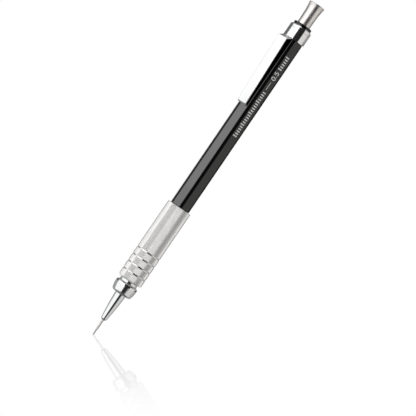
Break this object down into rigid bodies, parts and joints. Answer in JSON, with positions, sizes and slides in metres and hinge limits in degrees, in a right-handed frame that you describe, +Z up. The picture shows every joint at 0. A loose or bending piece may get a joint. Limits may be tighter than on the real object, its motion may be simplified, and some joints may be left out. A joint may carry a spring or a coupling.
{
  "type": "mechanical pencil",
  "caption": "Drafting mechanical pencil with hexagonal barrel, metal grip, fixed lead sleeve, spring clip, and a push button over an eraser.",
  "frame": {"origin": "the writing point: centre of the lead's flat front end", "axes": "+Z up the pencil's long axis to the push button; the pocket clip is on the -X side; Y across the clip"},
  "size_m": [0.0115, 0.0098, 0.1468],
  "materials": {
    "barrel_plastic": "gloss",
    "grip_metal": "satin",
    "tip_chrome": "polished",
    "clip_chrome": "polished",
    "button_nickel": "polished",
    "sleeve_steel": "satin",
    "brass_works": "satin",
    "spring_steel": "satin",
    "dark_plastic": "satin",
    "bush_rubber": "matte",
    "eraser_vinyl": "matte",
    "graphite": "satin"
  },
  "bodies": {
    "barrel": {"hex_barrel": "barrel_plastic", "metal_grip": "grip_metal", "spring_housing": "brass_works", "return_spring": "spring_steel", "clip_band": "clip_chrome", "end_collar": "clip_chrome"},
    "tip": {"tip_cone": "tip_chrome", "lead_sleeve": "sleeve_steel", "lead_retainer": "bush_rubber"},
    "lead": {"writing_lead": "graphite"},
    "push_rod": {"chuck_stem": "brass_works", "reservoir_connector": "dark_plastic", "lead_reservoir": "dark_plastic", "spare_lead_1": "graphite", "spare_lead_2": "graphite", "spare_lead_3": "graphite"},
    "jaw_1": {"chuck_jaw_1": "brass_works"},
    "jaw_2": {"chuck_jaw_2": "brass_works"},
    "jaw_3": {"chuck_jaw_3": "brass_works"},
    "clutch": {"clutch_ring": "brass_works"},
    "cap": {"push_button": "button_nickel"},
    "eraser_plug": {"eraser": "eraser_vinyl"},
    "clip": {"clip_arm": "clip_chrome"}
  },
  "joints": [
    {"name": "click", "type": "slide", "parent": "barrel", "child": "push_rod", "axis": [0, 0, -1], "range_m": [0, 0.0036], "stiffness_N_per_m": 150, "springref_m": -0.005, "deforming": ["return_spring"]},
    {"name": "clutch_follow", "type": "slide", "parent": "barrel", "child": "clutch", "axis": [0, 0, -1], "range_m": [0, 0.0011]},
    {"name": "lead_feed", "type": "slide", "parent": "barrel", "child": "lead", "axis": [0, 0, -1], "range_m": [0, 0.0006]},
    {"name": "jaw_1_open", "type": "hinge", "parent": "push_rod", "child": "jaw_1", "pos_m": [0.00062, 0, 0.0285], "axis": [0, -1, 0], "range_deg": [0, 1.4]},
    {"name": "jaw_2_open", "type": "hinge", "parent": "push_rod", "child": "jaw_2", "pos_m": [-0.00031, 0.00054, 0.0285], "axis": [0.866, 0.5, 0], "range_deg": [0, 1.4]},
    {"name": "jaw_3_open", "type": "hinge", "parent": "push_rod", "child": "jaw_3", "pos_m": [-0.00031, -0.00054, 0.0285], "axis": [-0.866, 0.5, 0], "range_deg": [0, 1.4]},
    {"name": "cap_pull", "type": "slide", "parent": "push_rod", "child": "cap", "axis": [0, 0, 1], "range_m": [0, 0.03]},
    {"name": "eraser_pull", "type": "slide", "parent": "push_rod", "child": "eraser_plug", "axis": [0, 0, 1], "range_m": [0, 0.015]},
    {"name": "tip_unscrew", "type": "slide", "parent": "barrel", "child": "tip", "axis": [0, 0, -1], "range_m": [0, 0.032]},
    {"name": "clip_flex", "type": "hinge", "parent": "barrel", "child": "clip", "pos_m": [-0.00445, 0, 0.1309], "axis": [0, 1, 0], "range_deg": [0, 6], "stiffness_Nm_per_rad": 0.5}
  ],
  "couplings": [
    {"joint": "clutch_follow", "follows": "click", "ratio": 0.3},
    {"joint": "lead_feed", "follows": "click", "ratio": 0.1666},
    {"joint": "jaw_1_open", "follows": "click", "rad_per_m": 6.7},
    {"joint": "jaw_2_open", "follows": "click", "rad_per_m": 6.7},
    {"joint": "jaw_3_open", "follows": "click", "rad_per_m": 6.7},
    {"joint": "eraser_pull", "follows": "cap_pull", "ratio": 0.5}
  ]
}
